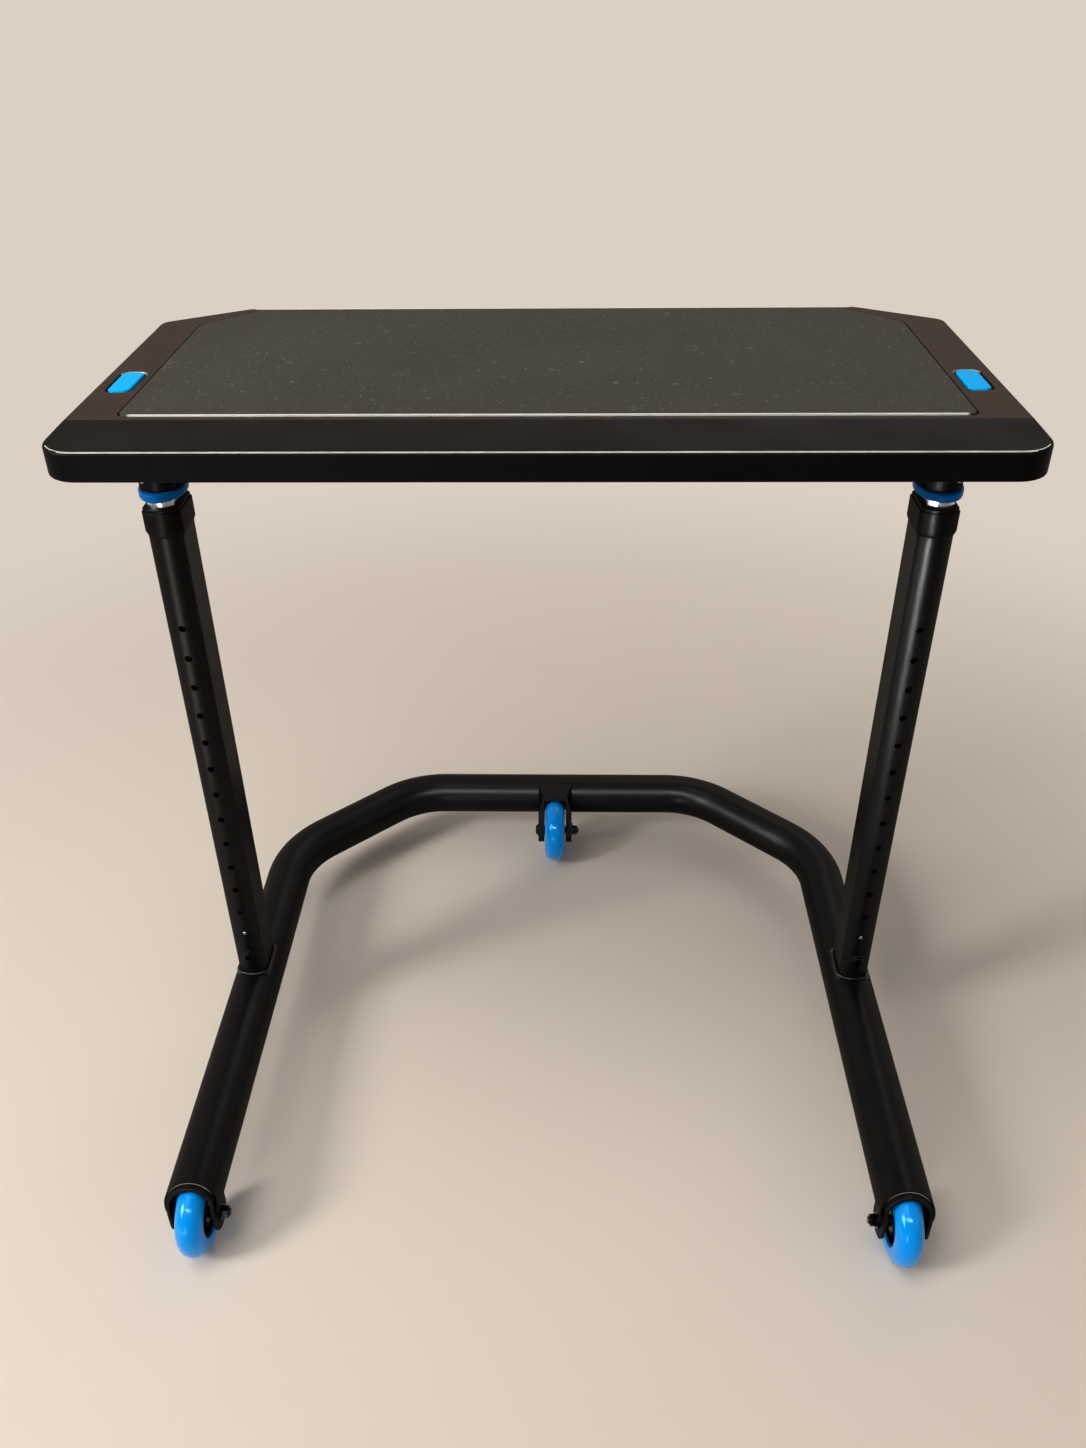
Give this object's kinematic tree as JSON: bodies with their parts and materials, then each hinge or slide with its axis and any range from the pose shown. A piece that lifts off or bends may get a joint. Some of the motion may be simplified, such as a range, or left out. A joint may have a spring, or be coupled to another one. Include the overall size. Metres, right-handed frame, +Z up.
{
  "type": "bike trainer desk",
  "caption": "Rolling desk on a bent tube base with wheels, two telescoping columns with lock pins, push-button height release and a flat top with an inlaid mat.",
  "frame": {"origin": "on the floor, at the centre of the overall length and width, between the two legs of the base", "axes": "+Z up, +X to the rider's right, +Y forwards, away from the rider, towards the base's crossbar"},
  "size_m": [0.7956, 0.7728, 0.8386],
  "materials": {
    "black_steel": "satin powder coat",
    "black_plastic": "fine grain",
    "deck_plastic": "fine grain, satin",
    "mat_rubber": "fine stipple",
    "blue_plastic": "smooth",
    "blue_tyre": "glossy cast",
    "chrome": "polished",
    "dark_steel": "black oxide",
    "plain_steel": "zinc plated",
    "white_plastic": "smooth"
  },
  "bodies": {
    "base": {"base_tube": "black_steel", "column_left": "black_steel", "column_right": "black_steel", "foot_stop_block_left": "black_plastic", "foot_stop_block_right": "black_plastic", "foot_bolt_left": "dark_steel", "foot_bolt_right": "dark_steel", "column_collar_left": "black_plastic", "column_collar_right": "black_plastic", "guide_bush_left": "white_plastic", "guide_bush_right": "white_plastic", "front_fork_left": "black_steel", "front_fork_right": "black_steel", "rear_fork": "black_steel", "axle_bolt_front_left": "dark_steel", "axle_bolt_front_right": "dark_steel", "axle_bolt_rear": "dark_steel", "axle_nut_front_left": "dark_steel", "axle_nut_front_right": "dark_steel", "axle_nut_rear": "dark_steel"},
    "wheel_front_left": {"tyre_front_left": "blue_tyre", "wheel_core_front_left": "black_plastic", "wheel_bearings_front_left": "plain_steel"},
    "wheel_front_right": {"tyre_front_right": "blue_tyre", "wheel_core_front_right": "black_plastic", "wheel_bearings_front_right": "plain_steel"},
    "wheel_rear": {"tyre_rear": "blue_tyre", "wheel_core_rear": "black_plastic", "wheel_bearings_rear": "plain_steel"},
    "desk": {"desk_top_shell": "deck_plastic", "desk_mat": "mat_rubber", "underside_cover": "black_plastic", "support_rail": "dark_steel", "leg_socket_left": "black_plastic", "leg_socket_right": "black_plastic", "socket_screw_left": "plain_steel", "socket_screw_right": "plain_steel", "stop_ring_left": "blue_plastic", "stop_ring_right": "blue_plastic", "inner_tube_left": "chrome", "inner_tube_right": "chrome", "glide_bush_left": "white_plastic", "glide_bush_right": "white_plastic", "pin_carrier_left": "black_plastic", "pin_carrier_right": "black_plastic", "pin_spring_left": "plain_steel", "pin_spring_right": "plain_steel", "button_housing_left": "black_plastic", "button_housing_right": "black_plastic", "button_spring_left": "plain_steel", "button_spring_right": "plain_steel"},
    "button_left": {"release_button_left": "blue_plastic", "push_rod_left": "plain_steel"},
    "button_right": {"release_button_right": "blue_plastic", "push_rod_right": "plain_steel"},
    "pin_left": {"lock_pin_left": "plain_steel"},
    "pin_right": {"lock_pin_right": "plain_steel"}
  },
  "joints": [
    {"name": "height_adjust", "type": "slide", "parent": "base", "child": "desk", "axis": [0, 0, 1], "range_m": [0, 0.42]},
    {"name": "button_left_press", "type": "slide", "parent": "desk", "child": "button_left", "axis": [0, 0, -1], "range_m": [0, 0.005], "stiffness_N_per_m": 1500, "springref_m": -0.004, "deforming": ["button_spring_left"]},
    {"name": "button_right_press", "type": "slide", "parent": "desk", "child": "button_right", "axis": [0, 0, -1], "range_m": [0, 0.005], "stiffness_N_per_m": 1500, "springref_m": -0.004, "deforming": ["button_spring_right"]},
    {"name": "lock_pin_left_draw", "type": "slide", "parent": "desk", "child": "pin_left", "axis": [0, 1, 0], "range_m": [0, 0.005]},
    {"name": "lock_pin_right_draw", "type": "slide", "parent": "desk", "child": "pin_right", "axis": [0, 1, 0], "range_m": [0, 0.005]},
    {"name": "wheel_front_left_roll", "type": "hinge", "parent": "base", "child": "wheel_front_left", "pos_m": [-0.369, -0.34085, 0.0455], "axis": [1, 0, 0], "continuous": true},
    {"name": "wheel_front_right_roll", "type": "hinge", "parent": "base", "child": "wheel_front_right", "pos_m": [0.369, -0.34085, 0.0455], "axis": [1, 0, 0], "continuous": true},
    {"name": "wheel_rear_roll", "type": "hinge", "parent": "base", "child": "wheel_rear", "pos_m": [0, 0.30115, 0.0455], "axis": [1, 0, 0], "continuous": true}
  ],
  "couplings": [
    {"joint": "lock_pin_left_draw", "follows": "button_left_press", "ratio": 1},
    {"joint": "lock_pin_right_draw", "follows": "button_right_press", "ratio": 1}
  ]
}
